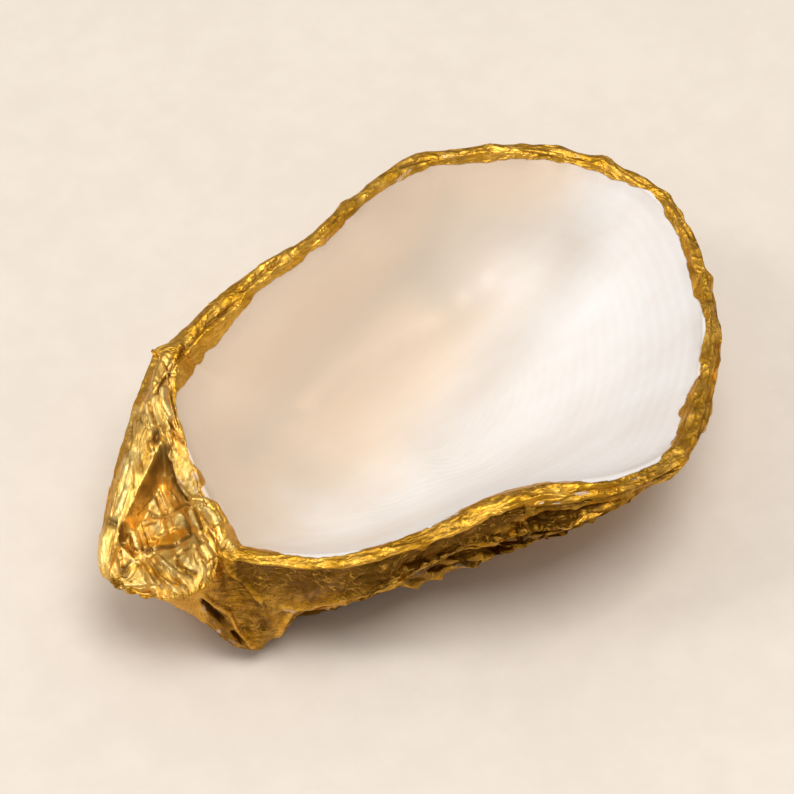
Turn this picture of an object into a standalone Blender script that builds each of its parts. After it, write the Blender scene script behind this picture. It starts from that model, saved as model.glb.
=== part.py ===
"""Oyster shell dish: one cupped valve of an oyster, gilded outside and pearly inside, resting on its belly.

The whole valve is one closed surface made of rings of points. Every ring is numbered by the same stations:
0 is the back end of the hinge, the stations run along the back edge, round the far end and along the front
edge to station 26, the front end of the hinge, and from there along the hinge line back to the start.
- The outside grows as a shell does: each ring is the rim drawn in towards the beak and let down by the belly.
- Between the two ends of the hinge the same rings cross the hinge plate, with its ligament pit.
- The lip rolls from the outer rim over to the inner rim.
- The bowl's rings close from the inner rim to the deepest point.
Sizes in the tables are millimetres; the object is in metres, +X towards the far end, +Z up, floor at z = 0.
"""

import bmesh
import bpy
import numpy as np

MM = 0.001

# Driving dimensions, in millimetres
BEAK = np.array((-50.0, 0.5, 16.5))
BEAK_AXIS = np.array((0.97, 0.24))
BEAK_BLUNTNESS = 2.0
BOWL_DEEPEST = np.array((6.0, 2.0, 3.2))
BELLY_DEPTH = 1.05
BOW_BACK = 1.9
BOW_FRONT = 5.5
LEDGE_COUNT = 10
LIP_CROWN = 0.28
RIM_WAVER = 0.2
PIT_DEPTH = 2.8
BOURRELET_HEIGHT = 1.3
KNOB_HEIGHT = 1.1
RIB_HEIGHT = 0.35

# Plan and height of the rim, from the back end of the hinge round to its front end
MARGIN = (
    (-24.0, 24.0, 26.0), (-20.5, 25.0, 26.0), (-13.0, 26.5, 27.0), (-3.5, 28.0, 27.5),
    (5.0, 28.5, 27.5), (15.5, 31.0, 27.0), (27.5, 33.5, 26.0), (38.0, 30.0, 25.0),
    (48.0, 23.5, 24.0), (54.0, 15.0, 23.0), (55.5, 6.0, 22.5), (52.5, -4.0, 22.0),
    (47.0, -14.5, 22.0), (40.5, -22.0, 22.5), (31.0, -30.0, 23.5), (22.5, -35.0, 25.0),
    (14.5, -35.0, 26.5), (8.0, -33.0, 27.5), (2.0, -30.5, 28.5), (-3.0, -29.0, 28.0),
    (-8.0, -27.5, 27.0), (-13.5, -25.5, 25.0), (-19.5, -22.5, 23.0), (-25.5, -19.0, 22.0),
    (-30.5, -14.5, 21.5), (-34.0, -11.0, 21.5),
)
# The hinge line, from its front end back to the start
HINGE = (
    (-36.0, -8.0, 21.5), (-35.0, -5.5, 22.0), (-33.5, -2.0, 23.0), (-32.5, 1.5, 23.5),
    (-31.0, 6.0, 24.0), (-29.5, 11.0, 25.0), (-27.5, 16.0, 26.0), (-25.5, 20.0, 26.5),
)
FRONT_END = len(MARGIN)
STATIONS = len(MARGIN) + len(HINGE)

# What changes round the ring, as (station, value) pairs
LIP_WIDTH = ((0, 6.0), (1, 4.6), (2, 3.2), (4, 2.2), (11, 2.1), (15, 2.8), (17, 2.4), (19, 3.4), (22, 2.5),
             (24, 2.6), (26, 3.2), (27, 2.2), (28, 1.2), (31, 1.0), (33, 3.4))
BELLY_TURN = ((0, 80), (4, 76), (9, 68), (11, 70), (13, 78), (16, 88), (19, 88), (21, 82), (23, 64), (24, 54),
              (26, 54), (28, 75), (33, 79))
WALL_POWER = ((0, 1.2), (4, 1.5), (9, 1.15), (11, 1.4), (13, 2.3), (15, 3.2), (18, 3.2), (20, 2.9), (22, 1.9),
              (23, 1.1), (24, 0.6), (26, 0.6), (28, 0.8), (33, 1.0))
CLIMB_REACH = ((0, 26), (19, 26), (22, 23), (24, 20.3), (26, 19.5), (29, 26))
UNDERCUT = ((0, 0), (14, 0), (15.5, 2), (17, 4), (19, 6), (21, 7), (23, 7), (23.5, 5), (24, -1), (24.5, -1), (25.5, 0))
SKIRT_HEIGHT = ((0, 1.0), (2, 1.5), (8, 1.5), (12, 1.0), (15, 1.5), (17, 2.8), (19, 5.0), (22, 4.0), (26, 3.5),
                (30, 2.0))
LEDGE_HEIGHT = ((0, 0.6), (5, 1.0), (12, 0.9), (15, 1.6), (16, 2.6), (18.5, 2.8), (20, 1.6), (22, 0.9),
                (23, 0.6), (24, 0.0), (32, 0.0))
BOWL_FLATNESS = ((0, 0.35), (3, 0.4), (8, 0.25), (11, 0.3), (13, 0.45), (15, 0.6), (19, 0.6), (21, 0.45),
                 (23, 0.3), (26, 0.2))

# How finely the solid is cut
AROUND = 92
LEDGE_CUTS = (0.0, 0.2, 0.6)
LIP_ROWS = 4
BOWL_ROWS = 15

GOLD = (0.79, 0.52, 0.14, 1.0)
PEARL = (0.90, 0.84, 0.78, 1.0)


def ease(x):
    """0 below 0 and 1 above 1, with a smooth S between."""
    x = np.clip(x, 0.0, 1.0)
    return x * x * (3.0 - 2.0 * x)


def bump(x, centre, width):
    """A bell of height 1."""
    return np.exp(-(((x - centre) / width) ** 2))


def around(points, station):
    """A closed smooth curve through the points, read at the given stations (Catmull-Rom)."""
    points = np.asarray(points, float)
    count = len(points)
    station = np.mod(station, count)
    start = np.floor(station).astype(int)
    part = (station - start)[:, None]
    before, here, after, beyond = (points[(start + step) % count] for step in (-1, 0, 1, 2))
    straight = 2 * here + (after - before) * part
    square = (2 * before - 5 * here + 4 * after - beyond) * part**2
    cube = (3 * here - 3 * after + beyond - before) * part**3
    return 0.5 * (straight + square + cube)


def keyed(pairs, station):
    """A value that changes round the ring: straight between the pairs, then evened out a little."""
    places, values = np.array(pairs, float).T
    places = np.concatenate([places, [places[0] + STATIONS]])
    values = np.concatenate([values, [values[0]]])
    spread = (-0.4, -0.2, 0.0, 0.2, 0.4)
    return sum(np.interp(np.mod(station + step, STATIONS), places, values) for step in spread) / len(spread)


def ripple(station, turn, seed, most_around, most_along):
    """Gentle unevenness: a sum of six waves of random direction, closed round the ring."""
    rng = np.random.default_rng(seed)
    total = 0.0
    for _ in range(6):
        waves = rng.integers(1, most_around + 1)
        slant = rng.uniform(0, most_along)
        phase = rng.uniform(0, 2 * np.pi)
        total = total + np.sin(2 * np.pi * waves * station / STATIONS + slant * turn + phase)
    return total / np.sqrt(6)


def rings_of_outside(station, turn):
    """Rings from the rim (turn 0) to the beak (turn 90 degrees), as an array of rings, stations and x, y, z.

    A ring is the rim scaled about the beak by the cosine of its turn. On the shell's back the ring is let
    down towards the floor by the sine of the turn, to a power that sets how upright the wall is there. The
    belly is cut off flat at the floor. On the hinge line the ring stays up, and is shaped by the pit."""
    rim = rim_of(station)
    outward = outward_of(station)[:, :2]
    on_hinge = station >= FRONT_END
    across = np.clip((station - FRONT_END) / len(HINGE), 0, 1)
    from_back = np.minimum(station, STATIONS - station)
    from_front = np.abs(station - FRONT_END)
    along_back = 1 - np.clip(1 - station / 2.6, 0, 1) ** 2.2
    along_front = 1 - np.clip(1 - (FRONT_END - station) / 1.6, 0, 1) ** 1.5
    open_side = np.where(on_hinge, 0.0, along_back * along_front)

    turn = turn[:, None]
    scale = np.cos(turn) * np.ones_like(station)
    lowering = np.sin(np.minimum(turn / np.radians(keyed(BELLY_TURN, station)), 1) * np.pi / 2)
    lowering = lowering ** keyed(WALL_POWER, station)
    way = scale * np.linalg.norm(rim - BEAK, axis=1) / keyed(CLIMB_REACH, station)
    snout = ease((station - 10) / 6) * ~on_hinge
    climb = (1 - snout) * (1 - np.clip(1 - way, 0, 1) ** 1.6) + snout * (way / (1 + way**14) ** (1 / 14)) ** 1.9
    lowered = lowering * climb * open_side
    rings = scale[..., None] * (rim - BEAK)
    along = rings[..., :2] @ BEAK_AXIS
    rings[..., :2] += (np.sqrt(along**2 + BEAK_BLUNTNESS**2) - along)[..., None] * BEAK_AXIS
    rings += BEAK
    back_bow = BOW_BACK * 2.88 * scale**0.6 * (1 - scale) * bump(from_back, 0, 2.2)
    front_bow = BOW_FRONT * 4 * scale * (1 - scale) * bump(from_front, 0, 1.8) * (1 - lowered)
    rings[..., :2] += back_bow[..., None] * (-0.68, 0.74) + front_bow[..., None] * (0.1, -1.0)
    skirt = keyed(SKIRT_HEIGHT, station) * ease(turn / 0.25) * (1 - lowering) * ease(scale / 0.5)
    height = rings[..., 2] * (1 - lowered * BELLY_DEPTH) - skirt * open_side

    stage = turn / (np.pi / 2) * LEDGE_COUNT + 0.35 * ripple(station, turn, 3, 7, 2.0) * ease(turn / 0.3)
    stage = np.mod(stage, 1)
    shingle = np.where(stage < 0.2, stage / 0.2, (1 - stage) / 0.8)
    uneven = 0.7 + 0.45 * ripple(station, turn, 5, 9, 6.0)
    ledge = keyed(LEDGE_HEIGHT, station) * np.maximum(uneven, 0) * shingle * open_side
    ledge = ledge * ease(turn / 0.12) * ease(scale / 0.35) * ease(height / 3)
    undercut = keyed(UNDERCUT, station) * ease(lowered / 0.9) * ease((scale - 0.1) / 0.35)
    rings[..., :2] += (ledge - undercut)[..., None] * outward
    rings[..., 2] = np.maximum(height + np.where(on_hinge, relief_of_plate(across, scale), 0), 0)
    return rings


def relief_of_plate(across, scale):
    """Rise and fall of the hinge plate: across runs 0 to 1 from its front edge to its back edge, scale 0 to
    1 from the beak to the hinge line. The pit has a steep wall beside the raised strip on its back side
    and climbs gently to the knob on its front side, with ribs across its floor."""
    sill = 1 - ease((scale - 0.84) / 0.12)
    pit = -PIT_DEPTH * ease((0.70 - across) / 0.08) * ease((across - 0.02) / 0.55) * ease(scale / 0.3) * sill
    strip = BOURRELET_HEIGHT * ease((across - 0.62) / 0.08) * ease((1.02 - across) / 0.15)
    strip = strip * ease(scale / 0.3) * (1 - 0.6 * ease((scale - 0.9) / 0.1))
    knob = KNOB_HEIGHT * bump(across, 0.17, 0.13) * ease((scale - 0.45) / 0.3)
    wander = 0.3 * np.sin(5 * across + 11 * scale) + 0.2 * np.sin(23 * scale - 9 * across)
    ribs = RIB_HEIGHT * np.sin(2 * np.pi * (8 * scale + wander)) * (1 - 0.8 * bump(scale, 0.6, 0.1))
    ribs = ribs * ease(scale / 0.25) * ease((0.72 - across) / 0.1) * sill
    return pit + strip + knob + ribs


def outward_of(station):
    """Level unit directions that point out of the ring at each station."""
    step = 1e-3
    along = around(MARGIN + HINGE, station + step) - around(MARGIN + HINGE, station - step)
    outward = np.stack([-along[:, 1], along[:, 0], np.zeros(len(along))], 1)
    return outward / np.linalg.norm(outward, axis=1)[:, None]


def rim_of(station):
    """The outer rim, with its small wavering in and out and up and down; the hinge line stays even."""
    free = ease(np.minimum(station, FRONT_END - station) / 2)
    wave = ripple(station, 0.0, 8, 40, 0.0) * RIM_WAVER * free
    lift = ripple(station, 0.0, 9, 30, 0.0) * RIM_WAVER * free
    return around(MARGIN + HINGE, station) + outward_of(station) * wave[:, None] + lift[:, None] * (0, 0, 1)


def softened(ring, keep):
    """The ring with only its slow changes: keep is about how many turns round it stay."""
    waves = np.fft.rfft(ring, axis=0)
    order = np.arange(len(waves))[:, None]
    return np.fft.irfft(waves * np.exp(-((order / keep) ** 2)), n=len(ring), axis=0)


def rings_of_lip(station, rows):
    """Rings over the lip, from the outer rim to the inner rim: half a wave across, crowned in the middle."""
    outer = rim_of(station)
    width = keyed(LIP_WIDTH, station)
    inner = softened(outer - outward_of(station) * width[:, None], 13.0)
    over = np.linspace(0, 1, rows)[:, None, None]
    rings = outer + (inner - outer) * (0.5 - 0.5 * np.cos(np.pi * over))
    rings[..., 2] += LIP_CROWN * width * np.sin(np.pi * over[..., 0])
    return rings


def rings_of_bowl(station, inner, rows):
    """Rings from the inner rim to the deepest point. Lower rings are rounder. The height follows a power of
    the share of the way out, so the floor is broad and the wall turns up near the rim; on the front side it
    follows half a cosine wave in part, which leaves the wall there thick enough."""
    flatness = keyed(BOWL_FLATNESS, station)
    rings = []
    for share in np.linspace(1, 0, rows) ** 0.8:
        ring = inner - BOWL_DEEPEST
        if share < 1:
            ring = softened(ring, 1.6 / (1 - share))
        climb = (1 - flatness) * share**3 + flatness * (0.5 - 0.5 * np.cos(np.pi * share))
        rings.append(BOWL_DEEPEST + np.stack([ring[:, 0] * share, ring[:, 1] * share, ring[:, 2] * climb], 1))
    return np.array(rings)


def shell_rings():
    """All rings in order, from the beak over the outside and the lip to the deepest point of the bowl."""
    station = np.arange(AROUND) * STATIONS / AROUND
    cuts = [(ledge + cut) / LEDGE_COUNT for ledge in range(LEDGE_COUNT) for cut in LEDGE_CUTS] + [1.0]
    outside = rings_of_outside(station, np.array(cuts) * np.pi / 2)
    lip = rings_of_lip(station, LIP_ROWS)
    bowl = rings_of_bowl(station, lip[-1], BOWL_ROWS)
    rings = np.concatenate([outside[:0:-1], lip, bowl[1:]])
    middle = (rings.min((0, 1)) + rings.max((0, 1))) / 2
    return rings - (middle[0], middle[1], 0.0), len(outside) + len(lip) - 2


def finish_of(name, colour, roughness, metallic):
    """A plain material for one finish of the shell."""
    material = bpy.data.materials.new(name)
    material.use_nodes = True
    material.diffuse_color = colour
    shader = material.node_tree.nodes["Principled BSDF"]
    shader.inputs["Base Color"].default_value = colour
    shader.inputs["Roughness"].default_value = roughness
    shader.inputs["Metallic"].default_value = metallic
    return material


def make_shell():
    """One closed mesh: a fan at the beak, quads between the rings and a fan at the deepest point."""
    rings, first_bowl_row = shell_rings()
    mesh = bmesh.new()
    beak = mesh.verts.new(rings[0, 0] * MM)
    rows = [[mesh.verts.new(point * MM) for point in ring] for ring in rings[1:-1]]
    deepest = mesh.verts.new(rings[-1, 0] * MM)
    for place in range(AROUND):
        after = (place + 1) % AROUND
        mesh.faces.new((beak, rows[0][place], rows[0][after]))
        mesh.faces.new((deepest, rows[-1][after], rows[-1][place])).material_index = 1
        for number, (row, following) in enumerate(zip(rows, rows[1:]), start=1):
            face = mesh.faces.new((row[place], following[place], following[after], row[after]))
            face.material_index = int(number >= first_bowl_row)
    bmesh.ops.triangulate(mesh, faces=mesh.faces, quad_method="SHORT_EDGE")
    bmesh.ops.recalc_face_normals(mesh, faces=mesh.faces)
    data = bpy.data.meshes.new("oyster_shell")
    mesh.to_mesh(data)
    mesh.free()
    data.shade_smooth()
    data.materials.append(finish_of("gilding", GOLD, 0.3, 1.0))
    data.materials.append(finish_of("pearly lining", PEARL, 0.35, 0.0))
    shell = bpy.data.objects.new("oyster_shell", data)
    bpy.context.scene.collection.objects.link(shell)
    return shell


for old in list(bpy.data.objects):
    bpy.data.objects.remove(old)
make_shell()
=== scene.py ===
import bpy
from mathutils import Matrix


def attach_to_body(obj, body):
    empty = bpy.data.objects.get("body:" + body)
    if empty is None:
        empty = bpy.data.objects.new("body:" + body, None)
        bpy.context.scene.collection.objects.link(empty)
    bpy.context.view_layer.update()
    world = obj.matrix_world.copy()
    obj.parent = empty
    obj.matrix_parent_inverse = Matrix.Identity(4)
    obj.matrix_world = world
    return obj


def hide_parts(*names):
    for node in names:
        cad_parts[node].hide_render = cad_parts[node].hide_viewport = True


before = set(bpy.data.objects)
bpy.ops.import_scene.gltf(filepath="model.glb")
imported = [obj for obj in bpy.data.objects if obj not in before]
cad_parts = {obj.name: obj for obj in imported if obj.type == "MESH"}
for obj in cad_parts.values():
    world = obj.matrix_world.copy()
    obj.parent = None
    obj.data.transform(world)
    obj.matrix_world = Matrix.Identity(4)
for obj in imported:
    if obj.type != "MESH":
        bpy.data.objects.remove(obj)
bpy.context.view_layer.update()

import bpy
import numpy as np
from mathutils import Vector
from numpy.linalg import norm

# The view: a long lens from the near left, looking down at the shell at 50 degrees. The folds of the leaf
# are written down below as places in the picture, which is 794 steps wide and high.

MM = 0.001
PICTURE = 794
AIM = np.array((-3.6, 1.0, 22.0))
AZIMUTH, ELEVATION, DISTANCE = np.radians(-36.7), np.radians(50.0), 420.0
LENS, SENSOR = 135.0, 36.0
RIGHT = np.array((np.cos(AZIMUTH), np.sin(AZIMUTH), 0.0))
BACKWARD = np.array((
    np.sin(AZIMUTH) * np.cos(ELEVATION),
    -np.cos(AZIMUTH) * np.cos(ELEVATION),
    np.sin(ELEVATION),
))
EYE = AIM + BACKWARD * DISTANCE


def picture_places(points):
    """Where points in millimetres fall in the picture: across from the left and down from the top."""
    ray = points - EYE
    steps = LENS / SENSOR * PICTURE / -(ray @ BACKWARD)
    across = PICTURE / 2 + ray @ RIGHT * steps
    down = PICTURE / 2 - ray @ np.cross(BACKWARD, RIGHT) * steps
    return np.stack([across, down], -1)


def pointed(obj, towards):
    """Turns a camera or a light so that it looks at a point."""
    obj.rotation_euler = (Vector(towards) - obj.location).to_track_quat("-Z", "Y").to_euler()


scene = bpy.context.scene
camera = bpy.data.objects.new("camera", bpy.data.cameras.new("camera"))
camera.location = EYE * MM
camera.data.lens = LENS
camera.data.sensor_width = SENSOR
camera.data.clip_start = 0.01
scene.collection.objects.link(camera)
pointed(camera, AIM * MM)
scene.camera = camera

# The shell: one cupped valve of an oyster, grown as a single piece of layered calcium carbonate.
# Its outside, rim and hinge are covered in gold leaf pressed into every ledge and crease; the bowl is the
# shell's own pearly lining. The surface follows the solid's rings, with finer ledges, folds and creases.

BEAK = np.array((-50.0, 0.5, 16.5))
BEAK_AXIS = np.array((0.97, 0.24))
BEAK_BLUNTNESS = 2.0
BOWL_DEEPEST = np.array((6.0, 2.0, 3.2))
BELLY_DEPTH = 1.05
BOW_BACK = 1.9
BOW_FRONT = 5.5
LEDGE_COUNT = 10
LIP_CROWN = 0.28
RIM_WAVER = 0.14
PIT_DEPTH = 2.8
BOURRELET_HEIGHT = 1.3
KNOB_HEIGHT = 1.1
RIB_HEIGHT = 0.35
BOX_MIDDLE = (3.6, -1.0, 0.0)

# The ring that the shell grows from, in millimetres: the free margin from the hinge's back end round to
# its front end, then the edge of the hinge plate. From each point to the next is one station.
MARGIN = (
    (-24, 24, 26), (-20.5, 25, 26), (-13, 26.5, 27), (-3.5, 28, 27.5), (5, 28.5, 27.5), (15.5, 31, 27),
    (27.5, 33.5, 26), (38, 30, 25), (48, 23.5, 24), (54, 15, 23), (55.5, 6, 22.5), (52.5, -4, 22),
    (47, -14.5, 22), (40.5, -22, 22.5), (31, -30, 23.5), (22.5, -35, 25), (14.5, -35, 26.5),
    (8, -33, 27.5), (2, -30.5, 28.5), (-3, -29, 28), (-8, -27.5, 27), (-13.5, -25.5, 25),
    (-19.5, -22.5, 23), (-25.5, -19, 22), (-30.5, -14.5, 21.5), (-34, -11, 21.5),
)
HINGE = (
    (-36, -8, 21.5), (-35, -5.5, 22), (-33.5, -2, 23), (-32.5, 1.5, 23.5), (-31, 6, 24), (-29.5, 11, 25),
    (-27.5, 16, 26), (-25.5, 20, 26.5),
)
FRONT_END = len(MARGIN)
STATIONS = len(MARGIN) + len(HINGE)

# How the form changes round the ring: pairs of a station and the value there, in millimetres or degrees
LIP_WIDTH = (
    (0, 4.6), (1, 4.4), (2, 3.2), (4, 2.2), (11, 2.1), (15, 2.8), (17, 2.4), (19, 3.4), (22, 2.5),
    (24, 2.6), (26, 3.2), (27, 2.2), (28, 1.2), (29, 0.8), (31, 0.4), (32, 0.5), (32.5, 1.4), (33, 2.8),
)
BELLY_TURN = (
    (0, 80), (4, 76), (9, 68), (11, 70), (13, 78), (16, 88), (19, 88), (21, 82), (23, 64), (24, 54),
    (26, 54), (28, 75), (33, 79),
)
WALL_POWER = (
    (0, 1.2), (4, 1.5), (9, 1.15), (11, 1.4), (13, 2.3), (15, 3.2), (18, 3.2), (20, 2.9), (22, 1.9),
    (23, 1.1), (24, 0.6), (26, 0.6), (28, 0.8), (33, 1),
)
CLIMB_REACH = ((0, 26), (19, 26), (22, 23), (24, 20.3), (26, 19.5), (29, 26))
UNDERCUT = (
    (0, 0), (14, 0), (15.5, 2), (17, 4), (19, 6), (21, 7), (23, 7), (23.5, 5), (24, -1), (24.5, -1),
    (25.5, 0),
)
SKIRT_HEIGHT = (
    (0, 1), (2, 1.5), (8, 1.5), (12, 1), (15, 1.5), (17, 2.8), (19, 5), (22, 4), (26, 3.5), (30, 2),
)
LEDGE_HEIGHT = (
    (0, 0.6), (5, 1), (12, 0.9), (15, 1.6), (16, 2.6), (18.5, 2.8), (20, 1.6), (22, 0.9), (23, 0.6),
    (24, 0), (32, 0),
)
BOWL_FLATNESS = (
    (0, 0.35), (3, 0.4), (8, 0.25), (11, 0.3), (13, 0.45), (15, 0.6), (19, 0.6), (21, 0.45), (23, 0.3),
    (26, 0.2),
)

# How finely the surface is cut: from which station to which, with how many cuts, most on the hinge plate
STATION_SHARES = ((0, 3, 80), (3, 10, 90), (10, 26, 280), (26, 34, 190))
OUTSIDE_ROWS = 114
LIP_ROWS = 18
BOWL_ROWS = 20


def ease(x):
    """0 below 0 and 1 above 1, with a smooth S between."""
    x = np.clip(x, 0.0, 1.0)
    return x * x * (3.0 - 2.0 * x)


def bump(x, centre, width):
    """A bell of height 1."""
    return np.exp(-(((x - centre) / width) ** 2))


def around(points, station):
    """A closed smooth curve through the points, read at the given stations (Catmull-Rom)."""
    points = np.asarray(points, float)
    count = len(points)
    station = np.mod(station, count)
    start = np.floor(station).astype(int)
    part = (station - start)[:, None]
    before, here, after, beyond = (points[(start + step) % count] for step in (-1, 0, 1, 2))
    straight = 2 * here + (after - before) * part
    square = (2 * before - 5 * here + 4 * after - beyond) * part**2
    cube = (3 * here - 3 * after + beyond - before) * part**3
    return 0.5 * (straight + square + cube)


def keyed(pairs, station):
    """A value that changes round the ring: straight between the pairs, then evened out a little."""
    places, values = np.array(pairs, float).T
    places = np.concatenate([places, [places[0] + STATIONS]])
    values = np.concatenate([values, [values[0]]])
    spread = (-0.4, -0.2, 0.0, 0.2, 0.4)
    return sum(np.interp(np.mod(station + step, STATIONS), places, values) for step in spread) / len(spread)


def ripple(station, turn, seed, most_around, most_along):
    """Gentle unevenness: a sum of six waves of random direction, closed round the ring."""
    rng = np.random.default_rng(seed)
    total = 0.0
    for _ in range(6):
        waves = rng.integers(1, most_around + 1)
        slant = rng.uniform(0, most_along)
        phase = rng.uniform(0, 2 * np.pi)
        total = total + np.sin(2 * np.pi * waves * station / STATIONS + slant * turn + phase)
    return total / np.sqrt(6)


def crumple(points, size, seed, waves=10):
    """Creases as in pressed foil, mostly between -1 and 1: the mean of folds 1 - 2|sin| that run in random
    directions about size apart, after the points have been pushed about by half that size."""
    rng = np.random.default_rng(seed)
    pushed = points.copy()
    for _ in range(3):
        heading = rng.normal(size=3)
        push = rng.normal(size=3) * size * 0.35
        slope = points @ (heading / norm(heading)) * 2 * np.pi / (size * 2.3)
        pushed = pushed + np.sin(slope + rng.uniform(0, 6.28))[..., None] * push
    total = 0.0
    for _ in range(waves):
        heading = rng.normal(size=3)
        length = size * rng.uniform(0.7, 1.7)
        slope = pushed @ (heading / norm(heading)) * np.pi / length
        total = total + 1 - 2 * np.abs(np.sin(slope + rng.uniform(0, 6.28)))
    return total / np.sqrt(waves)


def patches(points, size, seed):
    """Soft random patches between 0 and 1: a sum of eight plain waves through the points, eased."""
    rng = np.random.default_rng(seed)
    total = 0.0
    for _ in range(8):
        heading = rng.normal(size=3)
        total = total + np.sin(points @ heading * 2 * np.pi / (size * 1.7) + rng.uniform(0, 6.28))
    return ease(0.5 + total / 5)


def outward_of(station):
    """Level unit directions that point out of the ring at each station."""
    step = 1e-3
    along = around(MARGIN + HINGE, station + step) - around(MARGIN + HINGE, station - step)
    outward = np.stack([-along[:, 1], along[:, 0], np.zeros(len(along))], 1)
    return outward / norm(outward, axis=1)[:, None]


# Where the rim stands out a little: station, how far in millimetres, half width in stations
RIM_NUBS = (
    (0, 0.9, 0.25), (2.4, 0.4, 0.4), (5, 0.8, 0.6), (6.2, 0.8, 0.25), (7.4, 0.5, 0.5), (8.65, 1, 0.18),
    (9.9, 1, 0.2), (10.9, 0.5, 0.3), (11.45, 0.8, 0.12),
)


def rim_of(station):
    """The outer rim, with its small wavering in and out and up and down; the hinge line stays even."""
    free = ease(np.minimum(station, FRONT_END - station) / 2)
    wave = ripple(station, 0.0, 8, 40, 0.0) * RIM_WAVER * free
    from_start = np.mod(station + STATIONS / 2, STATIONS) - STATIONS / 2
    wave = wave + sum(height * bump(from_start, place, width) for place, height, width in RIM_NUBS)
    lift = ripple(station, 0.0, 9, 30, 0.0) * RIM_WAVER * free
    return around(MARGIN + HINGE, station) + outward_of(station) * wave[:, None] + lift[:, None] * (0, 0, 1)


def relief_of_plate(across, scale):
    """Rise and fall of the hinge plate: across runs 0 to 1 from its front edge to its back edge, scale 0 to
    1 from the beak to the hinge line. The pit has a steep wall beside the raised strip on its back side
    and climbs gently to the knob on its front side, with ribs across its floor."""
    sill = 1 - ease((scale - 0.79) / 0.07)
    pit = -PIT_DEPTH * ease((0.675 - across) / 0.07) * ease((across - 0.02) / 0.55)
    pit = pit * ease((scale - 0.2) / 0.35) * sill
    strip = BOURRELET_HEIGHT * ease((across - 0.6) / 0.07) * ease((1.02 - across) / 0.15)
    strip = strip * ease(scale / 0.3) * (1 - 0.6 * ease((scale - 0.9) / 0.1))
    knob = KNOB_HEIGHT * bump(across, 0.17, 0.13) * ease((scale - 0.45) / 0.3)
    wander = 0.3 * np.sin(5 * across + 11 * scale) + 0.2 * np.sin(23 * scale - 9 * across)
    ribs = RIB_HEIGHT * np.sin(2 * np.pi * (8 * scale + wander)) * (1 - 0.8 * bump(scale, 0.6, 0.1))
    ribs = ribs * ease(scale / 0.25) * ease((0.72 - across) / 0.1) * sill
    return pit + strip + knob + ribs


def rings_of_outside(station, turn):
    """Rings from the rim, at turn 0, to the beak, at 90 degrees: an array of rings, stations and x, y, z.

    A ring is the rim scaled about the beak by the cosine of its turn. On the shell's back the ring is let
    down towards the floor by the sine of the turn, to a power that sets how upright the wall is there. The
    belly is cut off flat at the floor. On the hinge line the ring stays up, and is shaped by the pit."""
    rim = rim_of(station)
    outward = outward_of(station)[:, :2]
    on_hinge = station >= FRONT_END
    across = np.clip((station - FRONT_END) / len(HINGE), 0, 1)
    from_back = np.minimum(station, STATIONS - station)
    from_front = np.abs(station - FRONT_END)
    along_back = 1 - np.clip(1 - station / 2.6, 0, 1) ** 2.2
    along_front = 1 - np.clip(1 - (FRONT_END - station) / 1.6, 0, 1) ** 1.5
    open_side = np.where(on_hinge, 0.0, along_back * along_front)

    turn = turn[:, None]
    scale = np.cos(turn) * np.ones_like(station)
    lowering = np.sin(np.minimum(turn / np.radians(keyed(BELLY_TURN, station)), 1) * np.pi / 2)
    lowering = lowering ** keyed(WALL_POWER, station)
    way = scale * norm(rim - BEAK, axis=1) / keyed(CLIMB_REACH, station)
    snout = ease((station - 10) / 6) * ~on_hinge
    climb = (1 - snout) * (1 - np.clip(1 - way, 0, 1) ** 1.6)
    climb = climb + snout * (way / (1 + way**14) ** (1 / 14)) ** 1.9
    lowered = lowering * climb * open_side
    rings = scale[..., None] * (rim - BEAK)
    along = rings[..., :2] @ BEAK_AXIS
    rings[..., :2] += (np.sqrt(along**2 + BEAK_BLUNTNESS**2) - along)[..., None] * BEAK_AXIS
    rings += BEAK
    back_bow = BOW_BACK * 2.88 * scale**0.6 * (1 - scale) * bump(from_back, 0, 2.2)
    front_bow = BOW_FRONT * 4 * scale * (1 - scale) * bump(from_front, 0, 1.8) * (1 - lowered)
    rings[..., :2] += back_bow[..., None] * (-0.68, 0.74) + front_bow[..., None] * (0.1, -1.0)
    skirt = keyed(SKIRT_HEIGHT, station) * ease(turn / 0.25) * (1 - lowering) * ease(scale / 0.5)
    height = rings[..., 2] * (1 - lowered * BELLY_DEPTH) - skirt * open_side

    stage = turn / (np.pi / 2) * LEDGE_COUNT + 0.35 * ripple(station, turn, 3, 7, 2.0) * ease(turn / 0.3)
    stage = np.mod(stage, 1)
    shingle = np.where(stage < 0.2, stage / 0.2, (1 - stage) / 0.8)
    uneven = 0.7 + 0.45 * ripple(station, turn, 5, 9, 6.0)
    ledge = keyed(LEDGE_HEIGHT, station) * np.maximum(uneven, 0) * shingle * open_side
    ledge = ledge * ease(turn / 0.12) * ease(scale / 0.35) * ease(height / 3)
    undercut = keyed(UNDERCUT, station) * ease(lowered / 0.9) * ease((scale - 0.1) / 0.35)
    rings[..., :2] += (ledge - undercut)[..., None] * outward
    rings[..., 2] = np.maximum(height + np.where(on_hinge, relief_of_plate(across, scale), 0), 0)
    return rings


EVEN = np.arange(1024) * STATIONS / 1024


def softened(ring, keep):
    """The ring with only its slow changes: keep is about how many turns round it stay. The ring is first
    read at even steps round it, because its own stations are closer together on the hinge plate."""
    waves = np.fft.rfft(ring, axis=0)
    order = np.arange(len(waves))[:, None]
    return np.fft.irfft(waves * np.exp(-((order / keep) ** 2)), n=len(ring), axis=0)


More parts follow.
